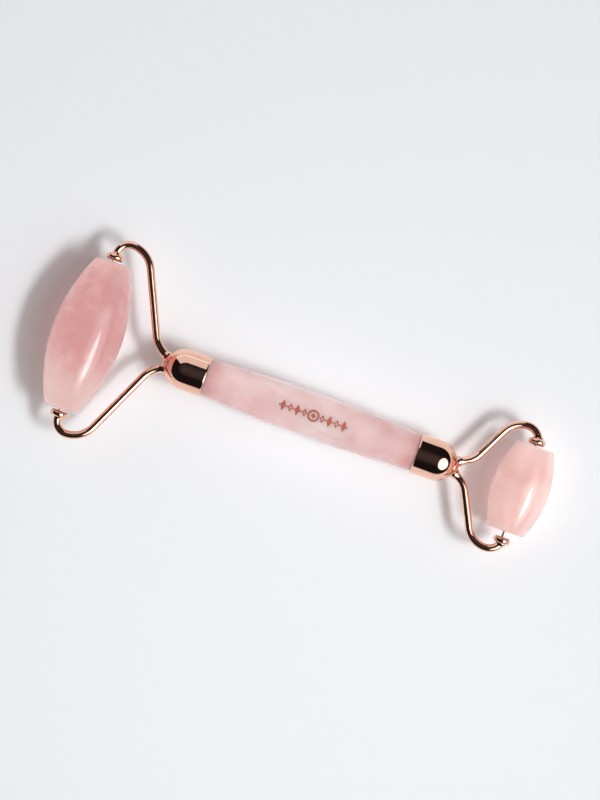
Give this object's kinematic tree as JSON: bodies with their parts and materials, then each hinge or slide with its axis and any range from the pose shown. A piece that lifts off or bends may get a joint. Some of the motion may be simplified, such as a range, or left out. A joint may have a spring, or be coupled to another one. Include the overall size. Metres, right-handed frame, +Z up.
{
  "type": "face roller",
  "caption": "Hand-held facial massage roller: a stone handle with a large and a small barrel-shaped stone roller, each turning in a bent-wire yoke.",
  "frame": {"origin": "on the surface the tool lies on, under the centre of its bounding box", "axes": "+X along the tool from the large roller to the small one, +Y along the rollers' axes, +Z up; the tool lies on both rollers, so its handle slopes down by 0.80 degrees towards +X"},
  "size_m": [0.1468, 0.0582, 0.02],
  "materials": {
    "handle_quartz": "polished translucent rose quartz",
    "large_roller_quartz": "polished translucent rose quartz",
    "small_roller_quartz": "polished translucent rose quartz",
    "rose_gold": "polished rose-gold plating",
    "rose_gold_wire": "polished rose-gold plating on wire",
    "rose_gold_disc": "polished rose-gold plating",
    "rose_gold_braze": "polished rose-gold plating over a brazed joint",
    "steel": "bright drawn steel",
    "brass": "turned brass",
    "nylon": "natural white nylon"
  },
  "bodies": {
    "handle": {"handle_stone": "handle_quartz", "large_ferrule": "rose_gold", "large_collar": "rose_gold_braze", "large_stud": "steel", "large_insert": "brass", "small_ferrule": "rose_gold", "small_collar": "rose_gold_braze", "small_stud": "steel", "small_insert": "brass", "large_arm_left": "rose_gold_wire", "large_arm_right": "rose_gold_wire", "large_disc_left": "rose_gold_disc", "large_disc_right": "rose_gold_disc", "large_pin_left": "rose_gold_disc", "large_pin_right": "rose_gold_disc", "small_arm_left": "rose_gold_wire", "small_arm_right": "rose_gold_wire", "small_disc_left": "rose_gold_disc", "small_disc_right": "rose_gold_disc", "small_pin_left": "rose_gold_disc", "small_pin_right": "rose_gold_disc"},
    "large_roller": {"large_roller_stone": "large_roller_quartz", "large_bush_left": "nylon", "large_bush_right": "nylon"},
    "small_roller": {"small_roller_stone": "small_roller_quartz", "small_bush_left": "nylon", "small_bush_right": "nylon"}
  },
  "joints": [
    {"name": "large_roller_spin", "type": "hinge", "parent": "handle", "child": "large_roller", "pos_m": [-0.06344, 0.00032, 0.01], "axis": [0, 1, 0], "continuous": true},
    {"name": "small_roller_spin", "type": "hinge", "parent": "handle", "child": "small_roller", "pos_m": [0.06524, 0.00032, 0.0082], "axis": [0, 1, 0], "continuous": true}
  ]
}
